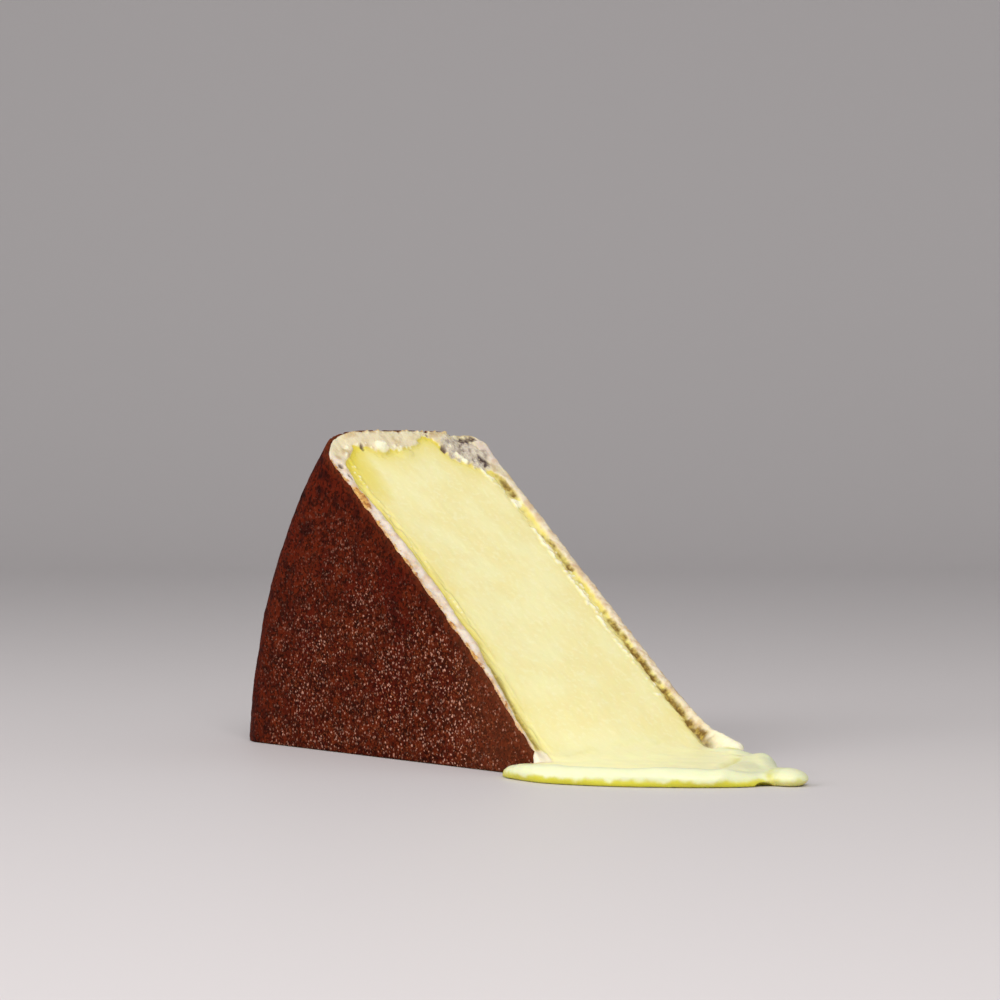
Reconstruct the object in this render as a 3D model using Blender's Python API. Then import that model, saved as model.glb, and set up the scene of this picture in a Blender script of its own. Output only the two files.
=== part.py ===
"""Wedge of a washed-rind raclette wheel. It stands on one cut face, and its other cut face slopes down and has melted.

Metres, +Z up. +X runs from the rim to the toe of the wedge, and Y runs across the height of the wheel. The origin is
under the middle of the piece, on the surface that it stands on. The shapes are worked out from the middle of the toe
line, where the two cuts would meet, and TOE_X and TOE_Y then move them into place.
"""

import math

import bmesh
import bpy
from mathutils import Vector

MM = 0.001

# The wheel that the wedge was cut from.
WHEEL_RADIUS = 159 * MM
WHEEL_HEIGHT = 70 * MM
RIM_BULGE = 1.2 * MM
FRONT_EDGE_RADIUS = 13 * MM
BACK_EDGE_RADIUS = 7 * MM
WHEEL_STEPS = 216

# The two cuts. The flat one is the base, and passes just above the centre of the wheel.
CUT_ANGLE = math.radians(40.5)
CENTRE_DROP = 8.4 * MM

# The rind round the sloping cut, which stands proud of the melted paste inside it.
RIND_AT_RIM = 5 * MM
RIND_AT_FRONT = 2.2 * MM
RIND_AT_BACK = 2.8 * MM
PASTE_SINK = 1.5 * MM
GROOVE_WIDTH = 2 * MM
FRONT_SWELL = 1.1 * MM

# The toe of the wedge: blunt at the front face, slumped outwards at the back face.
FRONT_TOE_BACK = 12 * MM
BACK_TOE_REACH = 8 * MM
BACK_TOE_HEIGHT = 5 * MM
BACK_TOE_WIDTH = 6 * MM

# The run of melted cheese at the foot.
MELT_HEIGHT = 5 * MM
MELT_EDGE_RADIUS = 3.2 * MM
MELT_CONTACT = math.radians(40)
MELT_BLEND = 9 * MM
MELT_START = 26 * MM
MELT_ROOT = 22 * MM
SHEET_SINK = 2.6 * MM
SHEET_MARGIN = 4 * MM
SHEET_FALL_LOW = 1.4
SHEET_FALL_HIGH = 3.0
EDGE_CLEAR = 9 * MM
EDGE_FALL = 3.0
MELT_MOUND = 1.3 * MM
MOUND_X = 24 * MM
MOUND_Y = 18 * MM
MOUND_WIDTH = 10 * MM
TONGUE_REACH = 55 * MM
LOBE_REACH = 45.9 * MM

# The plan outline of the run, from the front face round to the back one: X from the toe line and Y.
MELT_OUTLINE = [
    (-25, -31),
    (-21, -36.5),
    (-17, -41.5),
    (-8, -45.2),
    (3, -45.6),
    (14, -41.6),
    (25, -35.2),
    (34, -27.5),
    (42, -19.5),
    (49, -10.5),
    (53.5, -1),
    (54.9, 8),
    (52.5, 14),
    (46, 16),
    (40, 17.5),
    (34, 21),
    (28, 26),
    (21, 31),
    (13, 34.5),
    (5, 34),
]

# Mesh fineness.
CUT_STATIONS = 46
MELT_COLUMNS = 72
MELT_ROWS = 13
BEAD_STEPS = 6
CLEAR = 20 * MM

HALF_HEIGHT = WHEEL_HEIGHT / 2
HEEL_REACH = math.sqrt(WHEEL_RADIUS**2 - CENTRE_DROP**2)
TOE_X = (HEEL_REACH - TONGUE_REACH) / 2
TOE_Y = (LOBE_REACH - HALF_HEIGHT) / 2
SLOPE = math.tan(CUT_ANGLE)


def smooth_step(low, high, value):
    """0 below low, 1 above high, and a smooth rise between them."""
    share = min(1.0, max(0.0, (value - low) / (high - low)))
    return share * share * (3 - 2 * share)


def smooth_max(a, b, blend):
    """The larger of two heights, rounded where they cross."""
    return max(a, b) + max(blend - abs(a - b), 0.0) ** 2 / (4 * blend)


def bump(centre, width, value):
    """A smooth hump of height 1 round centre, which ends at width on either side."""
    share = min(1.0, abs(value - centre) / width)
    return (1 - share * share) ** 2


def cheese_material(name, colour, roughness):
    """A Principled material with one colour."""
    material = bpy.data.materials.new(name)
    material.use_nodes = True
    shader = material.node_tree.nodes["Principled BSDF"]
    shader.inputs["Base Color"].default_value = (*colour, 1.0)
    shader.inputs["Roughness"].default_value = roughness
    shader.inputs["Metallic"].default_value = 0.0
    material.diffuse_color = (*colour, 1.0)
    return material


def mesh_object(name, mesh_builder):
    """A new object whose mesh mesh_builder fills, with its faces turned outwards."""
    mesh = bpy.data.meshes.new(name)
    build = bmesh.new()
    mesh_builder(build)
    bmesh.ops.recalc_face_normals(build, faces=build.faces)
    build.to_mesh(mesh)
    build.free()
    obj = bpy.data.objects.new(name, mesh)
    bpy.context.scene.collection.objects.link(obj)
    return obj


def rim_profile():
    """Half of the wheel's section, from its axis out over the back edge, down the rim and back in at the front."""
    edges = [
        (HALF_HEIGHT - BACK_EDGE_RADIUS, BACK_EDGE_RADIUS, math.pi / 2, 5),
        (-HALF_HEIGHT + FRONT_EDGE_RADIUS, FRONT_EDGE_RADIUS, 0.0, 7),
    ]
    points = [(0.0, HALF_HEIGHT)]
    for centre, radius, start, steps in edges:
        for step in range(steps + 1):
            angle = start - math.pi / 2 * step / steps
            reach = WHEEL_RADIUS - RIM_BULGE - radius + radius * math.cos(angle)
            points.append((reach, centre + radius * math.sin(angle)))
    points.append((0.0, -HALF_HEIGHT))
    bulged = []
    for reach, height in points:
        share = max(0.0, reach / (WHEEL_RADIUS - RIM_BULGE) * 10 - 9)
        bulged.append((reach + share * RIM_BULGE * (1 - (height / HALF_HEIGHT) ** 2), height))
    return bulged


def wheel():
    """The whole wheel, turned by a Screw modifier about its own axis, which lies along Y."""

    def profile(build):
        points = [build.verts.new((reach, height, 0.0)) for reach, height in rim_profile()]
        for first, second in zip(points, points[1:]):
            build.edges.new((first, second))

    obj = mesh_object("cheese_wedge", profile)
    obj.location = (TOE_X, TOE_Y, -CENTRE_DROP)
    turn = obj.modifiers.new("turn", "SCREW")
    turn.axis = "Y"
    turn.steps = WHEEL_STEPS
    turn.render_steps = WHEEL_STEPS
    turn.use_merge_vertices = True
    turn.merge_threshold = 0.00001
    return obj


def section_depth(x, y):
    """How far a point of the sloping cut lies inside the outline of the wheel, measured along the cut face."""
    height = -x * SLOPE
    reach = math.hypot(x, height + CENTRE_DROP)
    inside_rim = (WHEEL_RADIUS - reach) / RIND_AT_RIM
    inside_front = (y + HALF_HEIGHT) / RIND_AT_FRONT
    inside_back = (HALF_HEIGHT - y) / RIND_AT_BACK
    corner = 3.0
    shares = [max(0.0, share) + 0.001 for share in (inside_rim, inside_front, inside_back)]
    return sum(share**-corner for share in shares) ** (-1 / corner)


def cut_height(x, y):
    """Height of the sloping cut at a point of the plan, with the rind, the sunk paste and the shape of the toe."""
    height = -x * SLOPE
    front = 1 - smooth_step(-HALF_HEIGHT, 0.0, y)
    height += FRONT_SWELL * front * math.sin(math.pi * min(1.0, max(0.0, (-x - 20 * MM) / (90 * MM))))
    height -= 2 * MM * front * bump(-FRONT_TOE_BACK, 22 * MM, x)
    groove = smooth_step(0.9, 0.9 + GROOVE_WIDTH / RIND_AT_BACK, section_depth(x, y))
    height -= PASTE_SINK * groove * smooth_step(6 * MM, 30 * MM, -x)
    toe = BACK_TOE_HEIGHT * bump(HALF_HEIGHT, BACK_TOE_WIDTH * 2, y)
    toe *= math.sqrt(max(0.0, 1 - (x / BACK_TOE_REACH) ** 2)) if x > 0 else 1.0
    return smooth_max(height, toe, 3 * MM)


def toe_x(y):
    """Where the wedge ends at its toe, from the toe line."""
    return -FRONT_TOE_BACK + (FRONT_TOE_BACK + BACK_TOE_REACH) * smooth_step(-HALF_HEIGHT, HALF_HEIGHT, y)


def stations(low, high, count, crowd):
    """Values from low to high that crowd towards both ends."""
    values = []
    for step in range(count + 1):
        share = step / count
        eased = 0.5 - 0.5 * math.cos(math.pi * share)
        values.append(low + (high - low) * ((1 - crowd) * share + crowd * eased))
    return values


def wedge_block():
    """The block that leaves the wedge of the wheel: flat below, and with the sloping cut as its top."""
    across = [-HALF_HEIGHT - CLEAR, *stations(-HALF_HEIGHT, HALF_HEIGHT, CUT_STATIONS // 2, 0.9)]
    across.append(HALF_HEIGHT + CLEAR)
    rim_x = -WHEEL_RADIUS * math.cos(CUT_ANGLE) - 4 * MM
    along = stations(0.0, 1.0, CUT_STATIONS, 0.7)

    def block(build):
        rows = []
        for y in across:
            inner = min(HALF_HEIGHT, max(-HALF_HEIGHT, y))
            end = toe_x(inner)
            row = []
            for share in along:
                x = rim_x + (end - rim_x) * share
                row.append(build.verts.new((x, y, max(0.8 * MM, cut_height(x, inner)))))
            heel = build.verts.new((-WHEEL_RADIUS - CLEAR, y, cut_height(rim_x, inner)))
            rows.append([heel, *row])
        floors = []
        for row in rows:
            floor = [build.verts.new((end.co.x, end.co.y, 0.0)) for end in (row[0], row[-1])]
            floors.append(floor)
        for left, right, left_floor, right_floor in zip(rows, rows[1:], floors, floors[1:]):
            for step in range(len(left) - 1):
                build.faces.new((left[step], left[step + 1], right[step + 1], right[step]))
            build.faces.new((left[0], right[0], right_floor[0], left_floor[0]))
            build.faces.new((left[-1], left_floor[1], right_floor[1], right[-1]))
            build.faces.new((left_floor[0], right_floor[0], right_floor[1], left_floor[1]))
        build.faces.new((*rows[0], floors[0][1], floors[0][0]))
        build.faces.new((*rows[-1], floors[-1][1], floors[-1][0]))

    obj = mesh_object("wedge_block", block)
    obj.location = (TOE_X, TOE_Y, 0.0)
    return obj


def outline_point(share):
    """A point of the smooth curve through MELT_OUTLINE, with share from 0 to 1 along it."""
    place = share * (len(MELT_OUTLINE) - 1)
    first = min(int(place), len(MELT_OUTLINE) - 2)
    t = place - first
    picks = [min(len(MELT_OUTLINE) - 1, max(0, first + k)) for k in (-1, 0, 1, 2)]
    p0, p1, p2, p3 = (Vector(MELT_OUTLINE[k]) * MM for k in picks)
    bend = (2 * p0 - 5 * p1 + 4 * p2 - p3) * t * t + (3 * p1 - p0 - 3 * p2 + p3) * t**3
    return 0.5 * (2 * p1 + (p2 - p0) * t + bend)


def melt_height(x, y, share, to_edge):
    """Height of the melted cheese at a point of the plan, from the sheet on the slope to the pool at the foot."""
    mound = MELT_MOUND * math.exp(-((math.hypot(x - MOUND_X, y - MOUND_Y) / MOUND_WIDTH) ** 2))
    thin = 1.0 * MM * (1 - smooth_step(0.0, 0.2, share))
    pool = MELT_HEIGHT + mound - thin
    sunk = SHEET_SINK * (1 - smooth_step(-MELT_START, -MELT_START / 3, x))
    beside = max(0.0, abs(y) - HALF_HEIGHT + SHEET_MARGIN)
    fall = beside * (SHEET_FALL_LOW + SHEET_FALL_HIGH * (1 - smooth_step(-18 * MM, -9 * MM, x)))
    fall += EDGE_FALL * max(0.0, EDGE_CLEAR - to_edge)
    sheet = -x * SLOPE - sunk - fall
    return smooth_max(sheet, pool, MELT_BLEND / (1 + beside / MM))


def melt():
    """The melted cheese on the foot of the slope and on the table, with a rounded edge all round."""

    def run(build):
        columns = []
        for column in range(MELT_COLUMNS + 1):
            share = column / MELT_COLUMNS
            edge = outline_point(share)
            root = Vector((-MELT_START, MELT_ROOT * (2 * share - 1)))
            span = edge - root
            flat = 1 - MELT_EDGE_RADIUS / span.length
            points = []
            for row in range(MELT_ROWS + 1):
                plan = root + span * flat * row / MELT_ROWS
                points.append(Vector((*plan, melt_height(plan.x, plan.y, share, (edge - plan).length))))
            top = points[-1].z
            sine = math.sin(MELT_CONTACT)
            for step in range(1, BEAD_STEPS + 1):
                angle = math.pi / 2 - (math.pi / 2 + MELT_CONTACT) * step / BEAD_STEPS
                plan = root + span * (flat + (1 - flat) * math.cos(angle))
                points.append(Vector((*plan, top * (math.sin(angle) + sine) / (1 + sine))))
            points[-1].z = 0.0
            columns.append([build.verts.new(point) for point in points])
        floor = [build.verts.new((column[0].co.x, column[0].co.y, 0.0)) for column in columns]
        for left, right, left_floor, right_floor in zip(columns, columns[1:], floor, floor[1:]):
            for step in range(len(left) - 1):
                build.faces.new((left[step], left[step + 1], right[step + 1], right[step]))
            build.faces.new((left[0], right[0], right_floor, left_floor))
            build.faces.new((left_floor, right_floor, right[-1], left[-1]))
        build.faces.new((floor[0], *columns[0]))
        build.faces.new((floor[-1], *columns[-1]))

    obj = mesh_object("melt_run", run)
    obj.location = (TOE_X, TOE_Y, 0.0)
    return obj


def combine(obj, other, operation):
    """Joins another shape to obj, or keeps only what they share. The other shape stays as a guide."""
    step = obj.modifiers.new(other.name, "BOOLEAN")
    step.operation = operation
    step.object = other
    step.solver = "EXACT"
    step.material_mode = "TRANSFER"
    other.hide_render = True
    other.display_type = "WIRE"


def main():
    """Builds the one solid of the cheese."""
    for obj in list(bpy.data.objects):
        bpy.data.objects.remove(obj)
    rind = cheese_material("washed_rind", (0.085, 0.02, 0.01), 0.6)
    paste = cheese_material("melted_paste", (0.87, 0.8, 0.42), 0.3)
    wedge = wheel()
    block = wedge_block()
    run = melt()
    wedge.data.materials.append(rind)
    block.data.materials.append(paste)
    run.data.materials.append(paste)
    combine(wedge, block, "INTERSECT")
    combine(wedge, run, "UNION")


main()
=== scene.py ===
"""Looks of the raclette wedge: the dark washed rind, and the pale cut face that has melted into a run.

Both pieces are meshed here from formulas. Lengths in the formulas are millimetres from the middle of the toe
line, where the two cuts would meet: x towards the run, y across the height of the wheel and z up. On the
sloping cut, u runs down the slope and w stands off it, and both are 0 at the toe line.
"""

import itertools
import math

import bmesh
import bpy
import numpy as np
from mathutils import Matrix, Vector


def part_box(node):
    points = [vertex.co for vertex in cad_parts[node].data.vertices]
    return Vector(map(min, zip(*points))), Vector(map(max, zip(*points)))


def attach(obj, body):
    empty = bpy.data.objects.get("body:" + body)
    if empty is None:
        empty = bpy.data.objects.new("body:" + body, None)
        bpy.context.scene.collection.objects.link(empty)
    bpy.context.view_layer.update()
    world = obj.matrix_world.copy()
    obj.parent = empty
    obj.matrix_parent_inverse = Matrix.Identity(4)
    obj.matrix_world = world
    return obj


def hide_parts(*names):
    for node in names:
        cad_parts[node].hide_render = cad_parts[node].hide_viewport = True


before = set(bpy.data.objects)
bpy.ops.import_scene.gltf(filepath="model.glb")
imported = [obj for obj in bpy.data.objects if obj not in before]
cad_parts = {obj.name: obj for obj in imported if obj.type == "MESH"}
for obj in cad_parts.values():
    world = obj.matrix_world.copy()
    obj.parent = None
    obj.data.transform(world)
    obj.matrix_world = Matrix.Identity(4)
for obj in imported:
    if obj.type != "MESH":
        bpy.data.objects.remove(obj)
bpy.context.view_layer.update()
cad_low, cad_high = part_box("cheese_wedge")

# The wheel that the wedge was cut from, as in the CAD model.
WHEEL_RADIUS = 159.0
WHEEL_HEIGHT = 70.0
RIM_BULGE = 1.2
FRONT_EDGE_RADIUS = 13.0
BACK_EDGE_RADIUS = 7.0
CUT_ANGLE = math.radians(40.5)
CENTRE_DROP = 8.4
HALF_HEIGHT = WHEEL_HEIGHT / 2
HEEL_REACH = math.sqrt(WHEEL_RADIUS**2 - CENTRE_DROP**2)

# The middle of the toe line in the frame, in metres, and the directions down the sloping cut and off it.
TOE = (cad_low[0] + HEEL_REACH / 1000, cad_high[1] - HALF_HEIGHT / 1000, 0.0)
DOWN_X, DOWN_Z = math.cos(CUT_ANGLE), -math.sin(CUT_ANGLE)
OFF_X, OFF_Z = math.sin(CUT_ANGLE), math.cos(CUT_ANGLE)

# The rind: how thick its brown skin is, how far it overlaps the pale cheese at the foot, and how far over the
# table its inner side and the pale cheese under it end there.
SKIN = 0.5
SKIN_OVERLAP = 0.8
SKIN_FOOT_RISE = 0.7
PASTE_FOOT_RISE = 0.04

# Next to the sloping cut: how far the skin drops away under the pale lip, how deep the lip lies under the
# surface of the wheel, and how thick the skin is at the front corner of the rim.
FIN_BEVEL = 0.5
FIN_DROP = 2.4
LIP_DEPTH = 0.12
CORNER_CRUST = 1.2

# Inner edge of the pale band on the sloping cut: u across the rim, then y along the front and along the back.
RIM_BAND_Y = (-30.0, -22.0, -17.0, -14.0, -11.0, -5.0, 1.6, 7.9, 11.6, 13.9, 15.9, 21.2, 26.6, 30.0, 35.0)
RIM_BAND_U = (-139.0, -146.4, -146.6, -145.0, -144.6, -145.3, -147.3, -150.2, -149.6, -145.4, -142.6, -139.5,
              -136.8, -134.5, -127.0)
FRONT_BAND_U = (-143.0, -126.0, -115.0, -80.0, -66.0, -56.0, -48.0, -39.0, -27.0, -10.0)
FRONT_BAND_Y = (-29.5, -32.0, -30.6, -29.9, -30.8, -30.3, -32.1, -32.8, -33.7, -34.2)
BACK_BAND_Y = 31.8
CORNER_BLEND = 1.2

# The toe of the wedge, and the run of melted cheese.
FRONT_TOE_BACK = 12.0
BACK_TOE_REACH = 8.0
RUN_HEIGHT = 4.3
RUN_ROUND = 3.0
RUN_UNDER = 1.0
RUN_RIDGE = 0.6
MOUND_HEIGHT = 1.3
MOUND_PLACE = (24.0, 18.0)
MOUND_SPREAD_SQUARED = 70.0
NECK_DROP = 1.9
BACK_DROP = 1.2
LOBE_DROP = 2.3
RUN_OUTLINE = [
    (-15, -30), (-17, -36), (-18.2, -40.5), (-14.5, -43.6), (-8, -45.2), (3, -45.6), (14, -41.6), (25, -35.2),
    (34, -27.5), (42, -19.5), (47.5, -11.5), (50, -4), (50.5, 2), (49, 8), (45.5, 11.5), (40, 14.5), (34, 19),
    (28, 24.5), (21, 30), (13, 33.0), (5, 32.5), (-15, 26),
]
TONGUE_TIP = (53.0, 3.0, 1.9)
TONGUE_SIZE = (4.8, 4.8, 2.4)
TONGUE_NECK = (48.4, 4.6, 1.5)
NECK_SIZE = (5.4, 4.8, 2.2)
NECK_BLEND = 2.0
TONGUE_BLEND = 2.2
UNDERCUT_PLACE = (50.5, -3.0, 0.0)
UNDERCUT_SIZE = (3.2, 4.4, 1.3)

# The fold of the run: a place on it, the direction across it, its depth and its half width.
FOLD_PLACE = (35.1, -5.7)
FOLD_ACROSS = (0.856, 0.517)
FOLD_DEPTH = 0.55
FOLD_WIDTH = 2.6

# The slumped end of the back rind: x, y, z and radius where it starts, bends and ends.
SLUMP_LINE = ((-25.0, 33.6, 19.4, 0.8), (-8.4, 33.0, 8.1, 1.9), (3.6, 32.5, 4.3, 2.5))
SLUMP_BLEND = 1.6

# Mesh fineness. Of the faces that lie deep in the rind or on the flat cut, only a small share is kept.
RIND_STEP = 0.7
PASTE_STEP = 0.48
PASTE_DEEP_STEP = 1.5
PLAN_STEP = 0.5
KEPT_OF_HIDDEN = 0.02
HIDDEN_DEPTH = 2.2
FLAT_CUT_HEIGHT = 0.06

# The table of random values that noise reads, and the primes that spread its grid over the table.
NOISE_TABLE_SIZE = 8192
NOISE_PRIMES = (73856093, 19349663, 83492791)

# The photograph's camera, fitted to the wedge's corners and the table's horizon.
CAMERA_PLACE = (583.6, -571.5, 87.7)
CAMERA_AIM = (-0.7508, 0.6605, -0.0105)
FOCAL_LENGTH = 100.5
SENSOR_WIDTH = 36.0

# The floor in metres: where it starts and where it bends up, the bend's radius, the height of the wall behind
# it, half its width, and how far it lies under the wedge.
FLOOR_START = -9.0
FLOOR_BEND = 1.6
BEND_RADIUS = 1.0
WALL_HEIGHT = 4.0
FLOOR_REACH = 9.0
FLOOR_DROP = 0.0002


def smooth_step(low, high, value):
    """0 below low, 1 above high, and a smooth rise between them."""
    share = np.clip((value - low) / (high - low), 0.0, 1.0)
    return share * share * (3 - 2 * share)


def smooth_min(a, b, blend):
    """The smaller of two distances, rounded where they cross."""
    return np.minimum(a, b) - np.maximum(blend - np.abs(a - b), 0.0) ** 2 / (4 * blend)


def smooth_max(a, b, blend):
    """The larger of two distances, rounded where they cross."""
    return -smooth_min(-a, -b, blend)


def bump(centre, width, value):
    """A smooth hump of height 1 round centre, which ends at width on either side."""
    return np.maximum(0.0, 1 - ((value - centre) / width) ** 2) ** 2


def noise(points, wave, seed, layers=2):
    """Smooth noise from about -1 to 1, with bumps about wave millimetres apart and finer ones on them."""
    total = np.zeros(len(points))
    table = np.random.default_rng(seed).uniform(-1.0, 1.0, NOISE_TABLE_SIZE)
    for layer in range(layers):
        scaled = points * (2**layer / wave) + 17.3 * layer
        base = np.floor(scaled).astype(np.int64)
        share = scaled - base
        share = share**3 * (share * (share * 6 - 15) + 10)
        for corner in itertools.product((0, 1), repeat=3):
            spread = (base + corner) * NOISE_PRIMES
            key = spread[:, 0] ^ spread[:, 1] ^ spread[:, 2]
            weight = np.prod(np.where(corner, share, 1 - share), axis=1)
            total += table[key % NOISE_TABLE_SIZE] * weight / 2**layer
    return total


def wheel_depth(x, y, z):
    """How deep a point is under the surface of the whole wheel."""
    reach = np.hypot(x, z + CENTRE_DROP) + RIM_BULGE * (y / HALF_HEIGHT) ** 2
    edge = np.where(y < 0, FRONT_EDGE_RADIUS, BACK_EDGE_RADIUS)
    out = reach - WHEEL_RADIUS + edge
    across = np.abs(y) - HALF_HEIGHT + edge
    beyond = np.hypot(np.maximum(out, 0.0), np.maximum(across, 0.0))
    return edge - beyond - np.minimum(np.maximum(out, across), 0.0)


def swell(u, y):
    """How far the cut surface stands off its plane: fuller at the front and rim, hollow at the front toe."""
    front = 1 - smooth_step(-HALF_HEIGHT, 0.0, y)
    full = 0.85 * front * np.sin(math.pi * np.clip((-u - 26.0) / 118.0, 0.0, 1.0))
    hollow = 1.6 * front * bump(-16.0, 29.0, u)
    rim = 1 - smooth_step(-152.0, -140.0, u)
    middle = smooth_step(-28.0, -16.0, y) * (1 - smooth_step(18.0, 23.0, y))
    return full - hollow + rim * (1.5 * middle + 0.9 * smooth_step(25.0, 32.0, y))


def toe_end(y):
    """Where the rind ends at the toe."""
    return -FRONT_TOE_BACK + (FRONT_TOE_BACK + BACK_TOE_REACH) * smooth_step(-HALF_HEIGHT, HALF_HEIGHT, y)


def rounded_outline(points, steps):
    """A closed smooth curve through the points, with steps points for each of them."""
    count = len(points)
    table = np.array(points, dtype=float)
    curve = []
    for first in range(count):
        p0, p1, p2, p3 = (table[(first + k) % count] for k in (-1, 0, 1, 2))
        for step in range(steps):
            t = step / steps
            bend = (2 * p0 - 5 * p1 + 4 * p2 - p3) * t * t + (3 * p1 - p0 - 3 * p2 + p3) * t**3
            curve.append(0.5 * (2 * p1 + (p2 - p0) * t + bend))
    return np.array(curve)


class Plan:
    """Distance inside the outline of the run, on a fine grid of the plan."""

    def __init__(self, outline):
        self.low = outline.min(axis=0) - 14.0
        size = outline.max(axis=0) + 14.0 - self.low
        self.shape = np.ceil(size / PLAN_STEP).astype(int) + 1
        x = self.low[0] + PLAN_STEP * np.arange(self.shape[0])[:, None]
        y = self.low[1] + PLAN_STEP * np.arange(self.shape[1])[None, :]
        nearest = np.full(tuple(self.shape), 1e9)
        inside = np.zeros(tuple(self.shape), dtype=bool)
        for start, end in zip(outline, np.roll(outline, -1, axis=0)):
            along = end - start
            share = ((x - start[0]) * along[0] + (y - start[1]) * along[1]) / along.dot(along)
            share = np.clip(share, 0.0, 1.0)
            gap = np.hypot(x - start[0] - share * along[0], y - start[1] - share * along[1])
            nearest = np.minimum(nearest, gap)
            if start[1] != end[1]:
                crosses = (y >= min(start[1], end[1])) & (y < max(start[1], end[1]))
                at_x = start[0] + along[0] * (y - start[1]) / along[1]
                inside ^= crosses & (x < at_x)
        self.depth = np.where(inside, nearest, -nearest)

    def __call__(self, x, y):
        x, y = np.broadcast_arrays(x, y)
        i = np.clip((x - self.low[0]) / PLAN_STEP, 0.0, self.shape[0] - 1.001)
        j = np.clip((y - self.low[1]) / PLAN_STEP, 0.0, self.shape[1] - 1.001)
        first, second = i.astype(np.int32), j.astype(np.int32)
        a, b = i - first, j - second
        table = self.depth
        near = table[first, second] * (1 - b) + table[first, second + 1] * b
        far = table[first + 1, second] * (1 - b) + table[first + 1, second + 1] * b
        return near * (1 - a) + far * a


plan = Plan(rounded_outline(RUN_OUTLINE, 8))


def run_height(x, y, inside):
    """Height of the run over the table, away from its rounded edge."""
    ridge = RUN_RIDGE * bump(3.6, 4.2, inside) * smooth_step(-8.0, 6.0, x)
    away = (x - MOUND_PLACE[0]) ** 2 + (y - MOUND_PLACE[1]) ** 2
    mound = MOUND_HEIGHT * np.exp(-away / MOUND_SPREAD_SQUARED)
    neck = NECK_DROP * smooth_step(36.0, 47.0, x + 0.5 * y)
    back = BACK_DROP * smooth_step(19.0, 30.0, y) * smooth_step(5.0, 13.0, x)
    lobe = LOBE_DROP * (1 - smooth_step(-21.0, -4.0, x))
    fold = FOLD_DEPTH * bump(0.0, FOLD_WIDTH, beyond_fold(x, y)) * smooth_step(-10.0, -2.0, y)
    fold = fold * (1 - smooth_step(22.0, 27.0, y))
    return RUN_HEIGHT + ridge + mound - neck - back - lobe - fold


def run_field(x, y, z):
    """Distance outside the run of melted cheese, whose edge is round and a little undercut."""
    inside = plan(x, y)
    top = run_height(x, y, inside)
    middle = (top - RUN_UNDER) / 2
    half = middle + RUN_UNDER
    round_edge = np.minimum(RUN_ROUND, half)
    out = round_edge - inside
    off = np.abs(z - middle) - half + round_edge
    beyond = np.hypot(np.maximum(out, 0.0), np.maximum(off, 0.0))
    pool = beyond - round_edge + np.minimum(np.maximum(out, off), 0.0)
    pool = np.maximum(pool, -oval(x, y, z, UNDERCUT_PLACE, UNDERCUT_SIZE))
    tip = oval(x, y, z, TONGUE_TIP, TONGUE_SIZE)
    tongue = smooth_min(tip, oval(x, y, z, TONGUE_NECK, NECK_SIZE), NECK_BLEND)
    return smooth_min(pool, tongue, TONGUE_BLEND)


def beyond_fold(x, y):
    """How far a point lies to the right of the run's fold, which goes from the slumped lip to the front."""
    return (x - FOLD_PLACE[0]) * FOLD_ACROSS[0] + (y - FOLD_PLACE[1]) * FOLD_ACROSS[1]


def oval(x, y, z, centre, size):
    """About the distance outside an egg-shaped body."""
    return (np.sqrt(sum(((p - c) / s) ** 2 for p, c, s in zip((x, y, z), centre, size))) - 1) * min(size)


def slumped_lip(x, y, z):
    """Distance outside the end of the back rind, which has slumped past the toe."""
    start, bend, end = SLUMP_LINE
    return np.minimum(rod(x, y, z, start, bend), rod(x, y, z, bend, end))


def rod(x, y, z, start, end):
    """About the distance outside a round bar between two places, each given with the bar's radius there."""
    along = [e - s for s, e in zip(start[:3], end[:3])]
    share = sum((p - s) * a for p, s, a in zip((x, y, z), start, along)) / sum(a * a for a in along)
    share = np.clip(share, 0.0, 1.0)
    gap = sum((p - s - share * a) ** 2 for p, s, a in zip((x, y, z), start, along))
    return np.sqrt(gap) - start[3] - (end[3] - start[3]) * share


def paste_field(u, y, w):
    """Distance outside the pale cheese: the wedge inside its skin, and the run."""
    x = u * DOWN_X + w * OFF_X
    z = u * DOWN_Z + w * OFF_Z
    soft = 0.5 + 6.0 * smooth_step(-17.0, -6.0, x) * (1 - smooth_step(5.0, 22.0, y))
    over = w - swell(u, y)
    cover = SKIN + (LIP_DEPTH - SKIN) * smooth_step(-3.4, -2.2, over) + CORNER_CRUST * crust_corner(y, z)
    depth = wheel_depth(x, y, z)
    body = smooth_max(cover - depth, over, soft)
    ground = PASTE_FOOT_RISE * (depth < SKIN + SKIN_OVERLAP) * (x < -BACK_TOE_REACH)
    x, y, z = np.broadcast_arrays(x, y, z)
    foot = (x > -45.0) & (z < 22.0)
    x, y, z = x[foot], y[foot], z[foot]
    blend = 0.8 + 3.2 * smooth_step(0.0, 9.0, HALF_HEIGHT - np.abs(y))
    joined = smooth_min(body[foot], run_field(x, y, z), blend)
    body[foot] = smooth_min(joined, slumped_lip(x, y, z), SLUMP_BLEND)
    return np.maximum(body, ground - u * DOWN_Z - w * OFF_Z)


def crust_corner(y, z):
    """Where the brown skin is thick and stands beside the pale band: the front corner of the rim."""
    return (1 - smooth_step(-32.0, -19.0, y)) * smooth_step(90.0, 95.0, z)


def lip_height(x, y, z):
    """How far the brown skin ends under the top of the pale lip, which is how much of the lip shows."""
    back = smooth_step(20.0, 30.0, y)
    rim = 1 - smooth_step(3.0, 9.0, WHEEL_RADIUS - np.hypot(x, z + CENTRE_DROP))
    ragged = noise(np.stack([x, y, z], axis=1), 3.2, 51)
    return (0.35 + 0.4 * ragged) * (1 - crust_corner(y, z)) * (1 - 0.75 * rim) + back * (1.0 - 0.7 * rim)


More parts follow.
